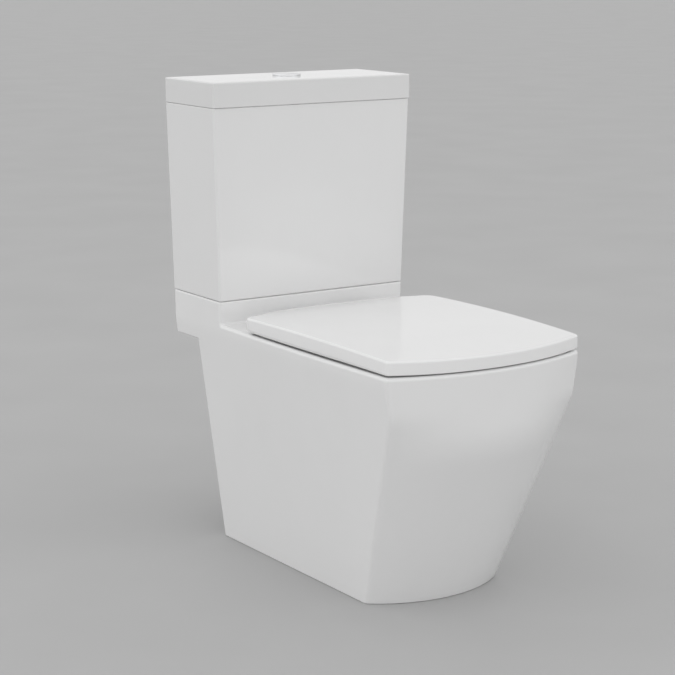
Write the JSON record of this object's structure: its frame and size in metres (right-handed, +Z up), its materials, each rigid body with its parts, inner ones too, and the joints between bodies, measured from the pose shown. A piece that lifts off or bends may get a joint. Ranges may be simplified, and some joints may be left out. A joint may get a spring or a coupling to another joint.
{
  "type": "close coupled toilet",
  "caption": "Floor-standing ceramic pan with a full-width cistern on its rear shelf, hinged wrap-over seat lid and ring, dual push-button flush and internal flushing gear.",
  "frame": {"origin": "on the floor, at the middle of the object's footprint (bounding box)", "axes": "+Z up, +Y towards the wall behind, -Y the front of the pan, +X to the right for someone facing it"},
  "size_m": [0.3866, 0.6664, 0.79],
  "materials": {
    "pan_glaze": "gloss white glaze",
    "cistern_glaze": "gloss white glaze",
    "cistern_lid_glaze": "gloss white glaze",
    "seat_resin": "gloss white moulded resin",
    "seat_ring_resin": "gloss white moulded resin",
    "chrome_plate": "polished",
    "bright_steel": "bright zinc",
    "plain_brass": "plain",
    "soft_rubber": "matt",
    "white_polymer": "satin white",
    "float_foam": "closed-cell foam"
  },
  "bodies": {
    "fixed_suite": {"cistern": "cistern_glaze", "coupling_bolt_left": "plain_brass", "coupling_bolt_right": "plain_brass", "coupling_nut_left": "plain_brass", "coupling_nut_right": "plain_brass", "coupling_seal_left": "soft_rubber", "coupling_seal_right": "soft_rubber", "coupling_washer_left": "bright_steel", "coupling_washer_right": "bright_steel", "doughnut_washer": "soft_rubber", "fill_valve_body": "white_polymer", "floor_screw_left": "bright_steel", "floor_screw_right": "bright_steel", "flush_valve_back_nut": "white_polymer", "flush_valve_base": "white_polymer", "flush_valve_tower": "white_polymer", "hinge_base_left": "chrome_plate", "hinge_base_right": "chrome_plate", "hinge_nut_left": "white_polymer", "hinge_nut_right": "white_polymer", "hinge_stud_left": "bright_steel", "hinge_stud_right": "bright_steel", "hinge_washer_left": "soft_rubber", "hinge_washer_right": "soft_rubber", "inlet_back_nut": "white_polymer", "inlet_washer": "soft_rubber", "pan": "pan_glaze"},
    "ring_assembly": {"seat_ring": "seat_ring_resin", "hinge_pin_left": "bright_steel", "hinge_pin_right": "bright_steel", "ring_buffer_front_left": "soft_rubber", "ring_buffer_front_right": "soft_rubber", "ring_buffer_rear_left": "soft_rubber", "ring_buffer_rear_right": "soft_rubber"},
    "lid_assembly": {"seat_lid": "seat_resin", "lid_buffer_left": "soft_rubber", "lid_buffer_right": "soft_rubber"},
    "cistern_cover": {"cistern_lid": "cistern_lid_glaze", "button_bezel": "chrome_plate", "button_nut": "white_polymer"},
    "full_button": {"full_flush_button": "chrome_plate", "full_flush_rod": "white_polymer"},
    "half_button": {"half_flush_button": "chrome_plate", "half_flush_rod": "white_polymer"},
    "valve_lifter": {"overflow_tube": "white_polymer", "flush_valve_seal": "soft_rubber"},
    "float_assembly": {"float_arm": "white_polymer", "float": "float_foam", "float_pivot_pin": "plain_brass"}
  },
  "joints": [
    {"name": "ring_hinge", "type": "hinge", "parent": "fixed_suite", "child": "ring_assembly", "pos_m": [0, 0.11475, 0.404], "axis": [-1, 0, 0], "range_deg": [0, 95]},
    {"name": "lid_hinge", "type": "hinge", "parent": "ring_assembly", "child": "lid_assembly", "pos_m": [0, 0.11475, 0.404], "axis": [1, 0, 0], "range_deg": [-95, 0]},
    {"name": "cover_lift", "type": "slide", "parent": "fixed_suite", "child": "cistern_cover", "axis": [0, 0, 1], "range_m": [0, 0.1]},
    {"name": "full_flush", "type": "slide", "parent": "cistern_cover", "child": "full_button", "axis": [0, 0, -1], "range_m": [0, 0.005], "stiffness_N_per_m": 300, "springref_m": -0.01},
    {"name": "half_flush", "type": "slide", "parent": "cistern_cover", "child": "half_button", "axis": [0, 0, -1], "range_m": [0, 0.005], "stiffness_N_per_m": 300, "springref_m": -0.01},
    {"name": "valve_lift", "type": "slide", "parent": "fixed_suite", "child": "valve_lifter", "axis": [0, 0, 1], "range_m": [0, 0.016]},
    {"name": "float_hinge", "type": "hinge", "parent": "fixed_suite", "child": "float_assembly", "pos_m": [-0.107, 0.25685, 0.659], "axis": [0, 1, 0], "range_deg": [0, 22], "stiffness_Nm_per_rad": 0.12, "springref_deg": -34.38}
  ],
  "couplings": [
    {"joint": "valve_lift", "follows": "full_flush", "ratio": 3.2}
  ]
}
